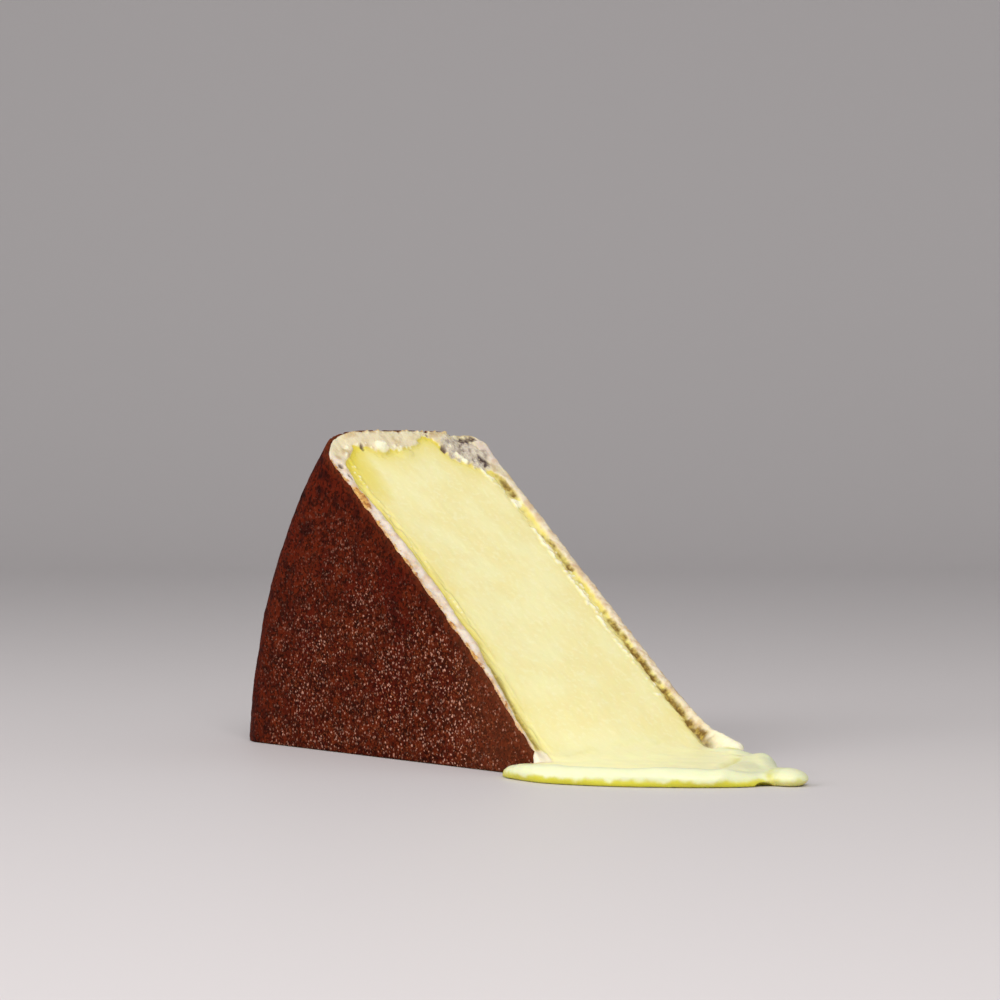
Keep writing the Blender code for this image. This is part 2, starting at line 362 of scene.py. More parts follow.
def rind_field(x, y, z):
    """Distance outside the brown skin, whose solid reaches in under the pale cheese."""
    u = x * DOWN_X + z * DOWN_Z
    w = x * OFF_X + z * OFF_Z
    depth = wheel_depth(x, y, z)
    over = w - swell(u, y)
    near = np.abs(over) < 3.0
    x, y, z = np.broadcast_arrays(x, y, z)
    lip = np.zeros(near.shape)
    lip[near] = np.maximum(lip_height(x[near], y[near], z[near]), 0.05)
    crust = CORNER_CRUST * crust_corner(y, z)
    inward = depth - crust
    under = FIN_BEVEL * smooth_step(0.1, 0.7, inward) + FIN_DROP * smooth_step(1.0, 2.2, inward)
    top = over + lip + under
    body = np.maximum(np.maximum(-depth, top), x - toe_end(y))
    return np.maximum(body, SKIN_FOOT_RISE * (depth > SKIN + SKIN_OVERLAP / 2) - z)


def crossed_edges(values, axis):
    """The lower ends of the grid's edges along an axis that cross the surface, and which are outside it."""
    inside = values < 0
    low = [slice(None)] * 3
    low[axis] = slice(0, -1)
    high = [slice(None)] * 3
    high[axis] = slice(1, None)
    first = inside[tuple(low)]
    at = np.array(np.nonzero(first != inside[tuple(high)]))
    return at, ~first[tuple(at)]


def crossing_places(field, values, axes, at, axis):
    """Where the surface crosses the edges along an axis whose lower ends are at these places of the grid."""
    upper = at.copy()
    upper[axis] += 1
    start = np.stack([axes[k][at[k]] for k in range(3)])
    end = np.stack([axes[k][upper[k]] for k in range(3)])
    low_value, high_value = values[tuple(at)].astype(float), values[tuple(upper)].astype(float)
    for _ in range(2):
        share = low_value / (low_value - high_value)
        middle = start + (end - start) * share
        value = field(*middle)
        same = (value < 0) == (low_value < 0)
        start, low_value = np.where(same, middle, start), np.where(same, value, low_value)
        end, high_value = np.where(same, end, middle), np.where(same, high_value, value)
    share = low_value / (low_value - high_value)
    return start + (end - start) * share


def boxes_round(at, axis, cells):
    """The numbers of the four boxes that lie round each edge, in their order round it."""
    sides = [(axis + 1) % 3, (axis + 2) % 3]
    around = []
    for shift in ((-1, -1), (0, -1), (0, 0), (-1, 0)):
        cell = at.copy()
        cell[sides[0]] += shift[0]
        cell[sides[1]] += shift[1]
        around.append(np.ravel_multi_index(tuple(np.clip(cell.T, 0, cells - 1).T), tuple(cells)))
    return np.stack(around)


def contour(field, axes, detail=0.05):
    """Points and four-sided faces of the surface where field is 0, with its edges, on a grid of boxes."""
    values = field(axes[0][:, None, None], axes[1][None, :, None], axes[2][None, None, :]).astype(np.float32)
    cells = np.array(values.shape) - 1
    places, cell_sets, flips = [], [], []
    for axis in range(3):
        at, outside = crossed_edges(values, axis)
        places.append(crossing_places(field, values, axes, at, axis))
        cell_sets.append(boxes_round(at, axis, cells))
        flips.append(outside)
    places = np.concatenate(places, axis=1)
    around = np.concatenate(cell_sets, axis=1)
    flips = np.concatenate(flips)
    slope = np.stack([
        field(*(places + detail * np.eye(3)[:, [k]])) - field(*(places - detail * np.eye(3)[:, [k]]))
        for k in range(3)
    ])
    normals = slope / np.maximum(np.linalg.norm(slope, axis=0), 1e-9)
    used, index = np.unique(around, return_inverse=True)
    index = index.reshape(around.shape)
    points = edge_points(places, normals, index, len(used))
    corner = np.stack(np.unravel_index(used, tuple(cells)))
    least = np.stack([axes[k][corner[k]] for k in range(3)])
    most = np.stack([axes[k][corner[k] + 1] for k in range(3)])
    points = np.clip(points, least, most)
    faces = np.where(flips, index[::-1], index).T
    return points.T, faces


def edge_points(places, normals, index, count):
    """For each box, the point that lies best on the planes where its edges cross the surface."""
    def gathered(values):
        return sum(np.bincount(index[k], weights=values, minlength=count) for k in range(4))

    crossings = gathered(np.ones(places.shape[1]))
    middle = np.stack([gathered(places[k]) / crossings for k in range(3)])
    squares = np.empty((count, 3, 3))
    aims = np.empty((count, 3))
    reach = (normals * places).sum(axis=0)
    for row in range(3):
        for column in range(3):
            squares[:, row, column] = gathered(normals[row] * normals[column])
        aims[:, row] = gathered(normals[row] * reach)
    aims -= np.einsum("nij,jn->ni", squares, middle)
    squares += 0.08 * np.eye(3)
    return middle + np.linalg.solve(squares, aims[:, :, None])[:, :, 0].T


def steps_between(low, high, step):
    """Evenly spaced values from low to high, about step apart."""
    return np.linspace(low, high, int(round((high - low) / step)) + 1)


def band_inset(u, y):
    """How far inside the pale band a point lies, and the rim's, front's and back's shares in that."""
    from_rim = u - np.interp(y, RIM_BAND_Y, RIM_BAND_U)
    from_front = y - np.interp(u, FRONT_BAND_U, FRONT_BAND_Y)
    from_back = BACK_BAND_Y - y
    sides = np.stack([from_rim, from_front, from_back])
    nearest = sides.min(axis=0)
    pulls = np.exp(-(sides - nearest) / CORNER_BLEND)
    return nearest - CORNER_BLEND * np.log(pulls.sum(axis=0)), pulls / pulls.sum(axis=0)


def beads(u, y, rows, seed):
    """Small round beads of melted fat, strewn along rows of (start, end, count, size, height)."""
    draw = np.random.default_rng(seed)
    height = np.zeros(len(u))
    for start, end, count, size, most in rows:
        for _ in range(count):
            share = draw.random()
            centre = [a + (b - a) * share + draw.normal(0.0, 0.5) for a, b in zip(start, end)]
            radius = size * draw.uniform(0.6, 1.5)
            stretch = draw.uniform(1.0, 2.0)
            near = np.abs(y - centre[1]) < 3 * radius
            gap = np.hypot((u[near] - centre[0]) / stretch, y[near] - centre[1]) / radius
            height[near] = np.maximum(height[near], most * draw.uniform(0.5, 1.0) * np.maximum(0, 1 - gap**2))
    return height


BEAD_ROWS = [
    ((-120.4, 29.4), (-119.0, 29.4), 3, 1.3, 1.0),
    ((-105.0, 28.9), (-98.0, 28.6), 4, 1.2, 0.9),
    ((-113.5, 29.0), (-95.0, 28.2), 14, 0.7, 0.7),
    ((-95.0, 28.0), (-62.0, 27.6), 46, 0.6, 0.6),
    ((-96.0, 30.0), (-66.0, 29.6), 24, 0.5, 0.6),
    ((-146.6, -20.0), (-145.4, 2.0), 16, 0.55, 0.45),
    ((-62.0, 27.0), (-30.0, 27.8), 26, 0.5, 0.45),
    ((-146.5, 17.0), (-138.0, 21.0), 14, 0.6, 0.6),
    ((-139.0, 24.0), (-124.0, 28.5), 14, 0.6, 0.5),
    ((-147.5, -24.0), (-142.0, -28.0), 8, 0.5, 0.4),
    ((-140.0, -27.6), (-60.0, -27.5), 24, 0.4, 0.3),
]
BEAD_SEED = 21

# Pits and dark dots in the pale band: u, y, their half sizes along both, and their depth. Their brown is
# partly their own colour and partly painted shade in the holes.
PITS = [
    (-137.1, -32.6, 1.6, 0.9, 0.6), (-131.7, -32.4, 1.8, 0.6, 0.5), (-146.2, -18.8, 1.7, 0.8, 0.8),
    (-152.6, -0.5, 0.5, 0.5, 0.5), (-153.2, 8.6, 0.6, 0.6, 0.6), (-152.6, 11.0, 0.6, 0.6, 0.6),
    (-151.0, 10.4, 0.7, 0.5, 0.6), (-145.4, 14.6, 1.7, 1.1, 1.5),
]

# Spots on the cut: u, y and their half sizes along both.
FAT_BLOB = (-145.8, -11.4, 2.7, 3.0)
FAT_DRIP = (-144.0, -3.0, 2.4, 4.0)
MOULD_SPOTS = ((-146.0, 21.5, 7.0, 8.0), (-142.5, 26.0, 7.5, 6.5))
DARK_SPOTS = ((-150.0, 27.6, 2.6, 4.6), (-139.6, 28.0, 3.4, 2.8))
FAINT_DARK_SPOT = (-144.0, 24.0, 5.0, 2.0)
DEEP_YELLOW_SPOT = (-134.0, -24.0, 16.0, 7.0)
CRUMB_SPOT = (-121.0, -34.0, 6.5, 1.6)
FAR_CORNER = (-145.0, 34.0, 9.0, 5.0)
NEAR_END = (-10.5, -33.4, 4.2, 2.6)


def patch(u, y, centre_u, centre_y, width_u, width_y):
    """An oval spot of height 1 on the cut."""
    return np.maximum(0.0, 1 - ((u - centre_u) / width_u) ** 2 - ((y - centre_y) / width_y) ** 2)


def lip_and_groove(flat, inset, shares):
    """Height of the band, the groove and the paste, where band and groove show, and the way across."""
    u, y, _ = flat.T
    rim, front, back = shares
    streaky = flat * (0.22, 1.0, 1.0)
    ragged = inset + noise(flat, 4.2, 3) * (1.0 * rim + 0.35 * back + 0.2 * front)
    ragged += noise(flat, 1.6, 4) * (0.5 * rim + 0.3 * back + 0.12 * front)
    lower = smooth_step(-120.0, -70.0, u)
    groove_depth = 0.5 * rim + (0.75 - 0.2 * lower) * front + 1.25 * back
    groove_width = 2.2 * rim + 4.2 * front + (3.8 - 1.0 * lower) * back
    across = ragged / groove_width
    paste_sink = 0.6
    level = -groove_depth * smooth_step(-0.1, 0.25, across)
    level += (groove_depth - paste_sink) * smooth_step(0.45, 1.4, across)
    band = 1 - smooth_step(-0.12, 0.14, across)
    groove = smooth_step(-0.05, 0.25, across) * (1 - smooth_step(0.75, 1.35, across))
    level += 0.4 * np.exp(-(((inset + 1.5) / 1.1) ** 2)) * (front + 0.7 * back)
    level += band * (0.2 * noise(flat, 3.2, 5) + (0.08 + 0.1 * front + 0.08 * back) * noise(flat, 1.2, 6))
    rim_edge = (1 - smooth_step(0.6, 2.6, u + 153.4)) * rim * (1 - smooth_step(20.0, 26.0, y))
    level += rim_edge * 0.85 * np.maximum(0.0, noise(flat, 1.5, 19))
    level += groove * (front + 0.4 * rim) * 0.3 * noise(streaky, 1.1, 7)
    level += groove * back * 0.3 * noise(flat, 1.7, 8)
    level += (1 - band) * (1 - groove) * (0.22 * noise(flat, 34.0, 9) + 0.03 * noise(streaky, 5.0, 10))
    return level, band, groove, across


def mouldy_hollow(flat):
    """Where the grey mould lies at the far end of the rim, and where the hollow in it is dark."""
    u, y, _ = flat.T
    mould = sum(patch(u, y, *spot) for spot in MOULD_SPOTS)
    patchy = 0.3 * noise(flat, 4.0, 11) + 0.25 * noise(flat, 1.3, 23)
    mould = smooth_step(0.08, 0.5, mould + patchy * (mould > 0))
    dark = sum(patch(u, y, *spot) for spot in DARK_SPOTS)
    dark += 0.35 * patch(u, y, *FAINT_DARK_SPOT)
    patchy = 0.3 * noise(flat, 1.9, 13) + 0.4 * noise(flat, 0.8, 24)
    return mould, smooth_step(0.25, 0.95, dark + patchy * (dark > 0))


def browned_crust(flat, inset, shares, across):
    """Where the groove is browned: in patches along the back, and near the toe along the front."""
    u = flat[:, 0]
    _, front, back = shares
    lower = smooth_step(-120.0, -70.0, u)
    lowest = smooth_step(-72.0, -46.0, u)
    browned = 0.9 * noise(flat, 9.0, 15, 1) + 0.6 * noise(flat, 2.0, 22) + 0.7 * lowest
    browned += 0.8 * bump(-131.0, 6.0, u)
    browned = smooth_step(-0.15, 0.7, browned + 0.15 * lower + 0.3 * bump(-112.0, 20.0, u))
    crust = back * smooth_step(-0.1, 0.12, across)
    crust = crust * (1 - smooth_step(0.3 + 0.3 * lowest, 0.9, across)) * browned
    return np.maximum(crust, 0.75 * front * smooth_step(-62.0, -40.0, u) * bump(1.0, 1.6, inset))


def front_crumbs(flat):
    """Where crumbs of rind lie along the front edge of the cut."""
    u, y, _ = flat.T
    outer = 1 - smooth_step(0.3, 1.3, y + HALF_HEIGHT + 0.5 * noise(flat, 1.4, 18))
    speckled = 0.7 * noise(flat, 6.0, 16) + 0.9 * noise(flat, 1.1, 25) - 0.5 * smooth_step(-50.0, -30.0, u)
    crumbs = outer * smooth_step(0.0, 0.6, speckled)
    return np.maximum(crumbs, smooth_step(0.1, 0.5, patch(u, y, *CRUMB_SPOT)))


def cut_relief(u, y):
    """Height of the fine forms of the sloping cut over its smooth surface, and where each finish shows."""
    flat = np.stack([u, y, np.zeros_like(u)], axis=1)
    inset, shares = band_inset(u, y)
    rim, front, back = shares
    level, band, groove, across = lip_and_groove(flat, inset, shares)
    bead_and_glint = beads(u, y, BEAD_ROWS, BEAD_SEED)
    blob = patch(u, y, *FAT_BLOB)
    level += bead_and_glint + 1.1 * np.sqrt(blob) + 0.6 * np.sqrt(patch(u, y, *FAT_DRIP))
    pit_colour_and_shade = np.zeros_like(u)
    for centre_u, centre_y, width_u, width_y, deep in PITS:
        spot = smooth_step(0.05, 0.7, patch(u, y, centre_u, centre_y, width_u, width_y))
        pit_colour_and_shade = np.maximum(pit_colour_and_shade, spot)
        level -= deep * spot
    mould, dark = mouldy_hollow(flat)
    level += mould * (0.3 * noise(flat, 2.0, 14) + 0.25) - 0.45 * dark
    crumbs = front_crumbs(flat)
    level += crumbs * 0.3 * (1 + noise(flat, 1.2, 17))

    clear = 1 - smooth_step(0.08, 0.3, bead_and_glint)
    yellow = rim * np.exp(-inset / 4.0) + front * np.exp(-inset / 3.6) + 0.8 * back * np.exp(-inset / 2.6)
    yellow *= 1 - band
    yellow += 0.6 * patch(u, y, *DEEP_YELLOW_SPOT) * (1 - band)
    far_corner = smooth_step(0.0, 0.6, patch(u, y, *FAR_CORNER))
    far_back = back * (1 - far_corner) * smooth_step(-135.0, -95.0, u)
    return level, {
        "band": band,
        "yellow": yellow,
        "groove": groove,
        "crust": browned_crust(flat, inset, shares, across) * clear,
        "mould": mould,
        "dark": dark,
        "pit_colour_and_shade": pit_colour_and_shade,
        "bead_and_glint": np.maximum(smooth_step(0.05, 0.3, bead_and_glint), smooth_step(0.1, 0.5, blob)),
        "pink": np.maximum(front + 0.45 * back, far_corner) * band,
        "crumbs": crumbs,
        "far": far_back * (1 - smooth_step(-22.0, -14.0, u)),
    }


def mesh_object(name, points, faces):
    """A new mesh object whose points come in millimetres from the toe line."""
    mesh = bpy.data.meshes.new(name)
    placed = points / 1000 + np.array(TOE)
    mesh.vertices.add(len(placed))
    mesh.vertices.foreach_set("co", placed.ravel())
    mesh.loops.add(faces.size)
    mesh.loops.foreach_set("vertex_index", faces.ravel())
    mesh.polygons.add(len(faces))
    mesh.polygons.foreach_set("loop_start", np.arange(0, faces.size, faces.shape[1]))
    mesh.update(calc_edges=True)
    mesh.validate()
    obj = bpy.data.objects.new(name, mesh)
    bpy.context.scene.collection.objects.link(obj)
    return obj


def outward(points, faces):
    """Unit normals at the points."""
    corners = points[faces]
    normal = np.cross(corners[:, 2] - corners[:, 0], corners[:, 3] - corners[:, 1])
    total = np.zeros_like(points)
    for corner in range(4):
        for axis in range(3):
            total[:, axis] += np.bincount(faces[:, corner], weights=normal[:, axis], minlength=len(points))
    return total / np.maximum(np.linalg.norm(total, axis=1, keepdims=True), 1e-9)


def paint(obj, name, values):
    """Stores a value between 0 and 1 for each point, which the material reads by name."""
    layer = obj.data.attributes.new(name, "FLOAT", "POINT")
    layer.data.foreach_set("value", np.clip(values, 0.0, 1.0).astype(np.float32))


def thin_out(obj, hidden):
    """Joins small faces where all their points are hidden or lie flat, and keeps all the others."""
    mesh = obj.data
    vertices = np.empty(len(mesh.loops), dtype=np.int32)
    mesh.loops.foreach_get("vertex_index", vertices)
    kept = np.count_nonzero(~hidden[vertices.reshape(-1, 4)].all(axis=1))
    group = obj.vertex_groups.new(name="hidden")
    group.add(np.nonzero(hidden)[0].tolist(), 1.0, "REPLACE")
    thin = obj.modifiers.new("thin", "DECIMATE")
    thin.vertex_group = group.name
    thin.ratio = (kept + KEPT_OF_HIDDEN * (len(mesh.polygons) - kept)) / len(mesh.polygons)
    evaluated = obj.evaluated_get(bpy.context.evaluated_depsgraph_get())
    obj.data = bpy.data.meshes.new_from_object(evaluated)
    obj.modifiers.clear()
    obj.vertex_groups.clear()
    bpy.data.meshes.remove(mesh)


def paste_piece():
    """The pale cheese: the sloping cut with its grooves, the run at its foot and the flat cut below."""
    deep = steps_between(-104.0, -4.0, PASTE_DEEP_STEP)
    fine = steps_between(-4.0, 42.0, PASTE_STEP)
    axes = (
        steps_between(-155.0, 45.0, PASTE_STEP),
        steps_between(-47.0, 36.0, PASTE_STEP),
        np.concatenate([deep[:-1], fine]),
    )
    points, faces = contour(paste_field, axes)
    u, y, w = points.T
    x = u * DOWN_X + w * OFF_X
    z = u * DOWN_Z + w * OFF_Z
    level, finish = cut_relief(u, y)
    over = w - swell(u, y)
    reach = 8.0 * smooth_step(14.0, 30.0, y)
    on_cut = smooth_step(-2.4, -0.4, over) * (1 - smooth_step(-13.0, -3.0, x + 0.6 * over - reach))
    on_cut *= smooth_step(1.5, 4.0, z)
    w = w + level * on_cut
    placed = np.stack([u * DOWN_X + w * OFF_X, y, u * DOWN_Z + w * OFF_Z], axis=1)
    inside = plan(placed[:, 0], placed[:, 1])
    run_side = np.maximum(smooth_step(-14.0, 2.0, x), smooth_step(35.4, 37.0, -y))
    on_run = run_side * smooth_step(0.3, 2.0, z)
    at_edge = 1 - smooth_step(5.0, 11.0, inside)
    lumps = 0.34 * noise(placed, 11.0, 31) + (0.05 + 0.12 * at_edge) * noise(placed, 4.0, 32)
    placed += outward(placed, faces) * (lumps * on_run)[:, None]
    obj = mesh_object("cheese_paste", placed, faces)
    slump = 1 - smooth_step(0.2, 0.9, slumped_lip(x, y, z))
    near_end = smooth_step(0.1, 0.6, patch(u, y, *NEAR_END)) * smooth_step(1.5, 4.0, z)
    paint_cut(obj, finish, on_cut, slump, near_end, x)
    paint_run(obj, (x, y, z), placed, inside, run_side, slump, near_end)
    paint_edge(obj, (x, y, z), placed, on_cut, u)
    covered = (wheel_depth(x, y, z) < SKIN + 0.2) & (over < -3.0) & (x < -20)
    thin_out(obj, covered | (placed[:, 2] < FLAT_CUT_HEIGHT))
    return obj


def paint_cut(obj, finish, on_cut, slump, near_end, x):
    """Stores where the finishes of the cut show, with the pale band carried on to its two lower ends."""
    finish["band"] = np.maximum.reduce([finish["band"] * on_cut, slump, near_end])
    finish["pink"] = np.maximum.reduce([finish["pink"] * on_cut * (1 - slump), 0.25 * slump, near_end])
    # The glossy ends take the whitish bead colour: partly their own whitish fat, partly painted glints.
    glossy_end = 0.75 * slump * smooth_step(-8.0, -2.0, x) + 0.5 * near_end
    finish["bead_and_glint"] = np.maximum(finish["bead_and_glint"] * on_cut, glossy_end)
    for name, values in finish.items():
        paint(obj, name, values if name in ("band", "pink", "bead_and_glint") else values * on_cut)


def paint_run(obj, place, placed, inside, run_side, slump, near_end):
    """Stores where the run's pale roll, its pool, its yellow creases and its yellow lower edge show, with the
    painted shade on the lobe's left tip.
    """
    x, y, z = place
    on_run = run_side * smooth_step(0.3, 2.0, z)
    blotches = 1.2 * noise(placed, 9.0, 33) + 0.8 * noise(placed, 2.5, 36)
    past_fold = beyond_fold(x, y)
    right = smooth_step(-1.0, 2.0, past_fold + blotches)
    roll = on_run * np.maximum(1 - smooth_step(4.0, 8.5, inside + blotches), 0.6 * right) * (1 - slump)
    paint(obj, "roll", roll * (1 - smooth_step(7.0, 12.0, placed[:, 2])))
    # The pool is painted lighter than the paste above it: painted light that makes up for the darker shading
    # of the flat run.
    paint(obj, "pool", on_run * (1 - slump) * (1 - near_end))

    round_tongue = np.exp(-(((oval(x, y, z, TONGUE_TIP, TONGUE_SIZE) - 0.7) / 0.5) ** 2))
    beside_slump = np.exp(-(((slumped_lip(x, y, z) - 1.3) / 0.6) ** 2))
    in_fold = 0.7 * np.exp(-((past_fold / 1.1) ** 2)) * smooth_step(-8.0, 0.0, y)
    behind_roll = 0.7 * np.exp(-(((inside + blotches - 7.0) / 0.8) ** 2)) * (1 - right)
    creases_and_lobe_shade = round_tongue + beside_slump + in_fold + behind_roll * smooth_step(-30.0, -10.0, -y)
    creases_and_lobe_shade *= smooth_step(-0.6, 0.4, noise(placed, 5.0, 38)) * (1 - slump)
    # The olive-yellow on the lobe's left tip is painted shade; the crease lines are the run's own yellow.
    paint(obj, "creases_and_lobe_shade", on_run * creases_and_lobe_shade + 0.6 * run_side * (1 - smooth_step(-18.0, -10.0, x)))

    low = placed[:, 2] + 0.7 * noise(placed, 5.0, 34) + 0.4 * noise(placed, 1.6, 37)
    bare = 1 - 0.45 * smooth_step(47.0, 53.0, x + 0.3 * placed[:, 1])
    paint(obj, "low_edge", run_side * (1 - smooth_step(0.8, 2.3, low)) * bare)


def paint_edge(obj, place, placed, on_cut, u):
    """Stores where the outer edge of the pale lip is tan, next to the skin."""
    x, y, z = place
    skin_near = np.maximum(wheel_depth(x, y, z) - LIP_DEPTH, 0.0)
    edge = 1 - smooth_step(0.0, 0.7, skin_near + 0.3 * noise(placed, 3.0, 35))
    edge *= 1 - 0.75 * smooth_step(22.0, 32.0, y) * (1 - smooth_step(-60.0, -30.0, u))
    paint(obj, "edge", on_cut * edge)


def rind_piece():
    """The brown skin with its uneven surface, which ends raggedly under the pale lip."""
    axes = (
        steps_between(-160.2, 9.0, RIND_STEP),
        steps_between(-36.1, 36.1, RIND_STEP),
        steps_between(-1.3, 101.5, RIND_STEP),
    )
    points, faces = contour(rind_field, axes)
    x, y, z = points.T
    depth = wheel_depth(x, y, z)
    over = x * OFF_X + z * OFF_Z - swell(x * DOWN_X + z * DOWN_Z, y)
    outer = 1 - smooth_step(0.05, 0.4, depth)
    standing = smooth_step(0.0, 1.2, z)
    forms = 0.3 * noise(points, 24.0, 41) + 0.16 * noise(points, 5.0, 42) + 0.1 * noise(points, 2.2, 43)
    forms *= outer * standing * smooth_step(2.2, 4.5, -over)
    points = points + outward(points, faces) * forms[:, None]
    obj = mesh_object("cheese_rind", points, faces)
    from_axis = np.hypot(x, z + CENTRE_DROP)
    at_rim = np.exp(-np.maximum(0.0, WHEEL_RADIUS - 3.0 - from_axis) / 2.5)
    fillet = smooth_step(WHEEL_RADIUS - 40.0, WHEEL_RADIUS - 10.0, from_axis)
    # Where the pale specks lie thick. They are partly grains of the rind and partly painted glints, most low
    # on the face and few on the rounded edge and next to the cut.
    dense = 0.16 + 0.6 * (1 - smooth_step(20.0, 70.0, z)) + 0.4 * noise(points, 15.0, 45)
    dense *= smooth_step(0.5, 3.0 + 9.0 * smooth_step(12.0, 60.0, z), -over) * (1 - 0.85 * fillet)
    paint(obj, "specks", dense)
    upper = smooth_step(35.0, 80.0, z)
    paint(obj, "mottle", 0.4 + 0.3 * fillet + 0.25 * upper)
    paint(obj, "redder", 0.6 * upper + 0.5 * fillet)
    # The tan of the skin along the cut is its own colour; the tan that grows towards the toe is painted
    # bounce light from the table and the run.
    crust_edge_and_painted_toe_bounce = smooth_step(-3.5, -0.6, over) * (0.4 + 0.6 * at_rim)
    paint(obj, "crust_edge_and_painted_toe_bounce", crust_edge_and_painted_toe_bounce + 0.5 * smooth_step(-58.0, -24.0, x))
    thin_out(obj, depth > HIDDEN_DEPTH)
    return obj


def tone(red, green, blue):
    """A colour from its 0 to 255 screen values."""
    shares = [value / 255 for value in (red, green, blue)]
    return tuple(v / 12.92 if v <= 0.04045 else ((v + 0.055) / 1.055) ** 2.4 for v in shares)


class Nodes:
    """A material's nodes, made one by one and joined as they are made."""

    def __init__(self, name):
        self.material = bpy.data.materials.new(name)
        self.material.use_nodes = True
        self.tree = self.material.node_tree
        self.shader = self.tree.nodes["Principled BSDF"]
        self.place = self.tree.nodes.new("ShaderNodeTexCoord").outputs["Object"]

    def join(self, value, socket):
        """Links an output to a socket, or sets a plain value on it."""
        if isinstance(value, bpy.types.NodeSocket):
            self.tree.links.new(value, socket)
        elif isinstance(value, tuple):
            socket.default_value = (*value, 1.0)[: len(socket.default_value)]
        else:
            socket.default_value = value

    def noise(self, wave, detail=3.0, stretch=None):
        """Noise with bumps about wave millimetres apart."""
        node = self.tree.nodes.new("ShaderNodeTexNoise")
        node.inputs["Scale"].default_value = 1000 / wave
        node.inputs["Detail"].default_value = detail
        self.join(self.stretched(stretch) if stretch else self.place, node.inputs["Vector"])
        return node.outputs["Fac"]

    def warped(self, wave, reach):
        """Coordinates that are bent by up to about reach millimetres over wave millimetres."""
        bend = self.tree.nodes.new("ShaderNodeTexNoise")
        bend.inputs["Scale"].default_value = 1000 / wave
        self.join(self.place, bend.inputs["Vector"])
        node = self.tree.nodes.new("ShaderNodeVectorMath")
        node.operation = "MULTIPLY_ADD"
        self.join(bend.outputs["Color"], node.inputs[0])
        node.inputs[1].default_value = (reach / 500,) * 3
        self.join(self.place, node.inputs[2])
        return node.outputs["Vector"]

    def specks(self, place, wave, size, low, high):
        """Small flecks in the brighter ones of the grains that lie about wave millimetres apart."""
        node = self.tree.nodes.new("ShaderNodeTexVoronoi")
        node.inputs["Scale"].default_value = 1000 / wave
        self.join(place, node.inputs["Vector"])
        flecks = self.ramp(node.outputs["Distance"], size, size * 0.3)
        return self.math("MULTIPLY", flecks, self.ramp(node.outputs["Color"], low, high))

    def stretched(self, stretch):
        """Coordinates drawn out down the slope."""
        node = self.tree.nodes.new("ShaderNodeMapping")
        node.vector_type = "POINT"
        node.inputs["Rotation"].default_value = (0.0, -CUT_ANGLE, 0.0)
        node.inputs["Scale"].default_value = stretch
        self.join(self.place, node.inputs["Vector"])
        return node.outputs["Vector"]

    def mask(self, name):
        """A value that is stored on the mesh."""
        node = self.tree.nodes.new("ShaderNodeAttribute")
        node.attribute_name = name
        return node.outputs["Fac"]

    def ramp(self, value, low, high):
        """0 where value is under low, 1 where it is over high."""
        node = self.tree.nodes.new("ShaderNodeMapRange")
        node.interpolation_type = "SMOOTHSTEP"
        self.join(value, node.inputs["Value"])
        node.inputs["From Min"].default_value = low
        node.inputs["From Max"].default_value = high
        return node.outputs["Result"]

    def math(self, operation, first, second):
        """first and second, put together by the operation."""
        node = self.tree.nodes.new("ShaderNodeMath")
        node.operation = operation
        self.join(first, node.inputs[0])
        self.join(second, node.inputs[1])
        return node.outputs["Value"]

    def mix(self, first, second, share):
        """first turning into second as share goes from 0 to 1, for colours or for plain values."""
        colours = isinstance(second, tuple) or (
            isinstance(second, bpy.types.NodeSocket) and second.type == "RGBA"
        )
        node = self.tree.nodes.new("ShaderNodeMix")
        node.data_type = "RGBA" if colours else "FLOAT"
        kind = "Color" if colours else "Float"
        sockets = {socket.identifier: socket for socket in node.inputs}
        self.join(share, sockets["Factor_Float"])
        self.join(first, sockets["A_" + kind])
        self.join(second, sockets["B_" + kind])
        return next(socket for socket in node.outputs if socket.identifier == "Result_" + kind)

    def tinted(self, colour, tint, name, most):
        """colour turning into tint where the stored value of this name shows, by the share most at most."""
        return self.mix(colour, tint, self.math("MULTIPLY", self.mask(name), most))

    def relief(self, height, depth, below=None):
        """A bump of depth millimetres, on top of another one."""
        node = self.tree.nodes.new("ShaderNodeBump")
        node.inputs["Strength"].default_value = 1.0
        node.inputs["Distance"].default_value = depth / 1000
        self.join(height, node.inputs["Height"])
        if below is not None:
            self.join(below, node.inputs["Normal"])
        return node.outputs["Normal"]


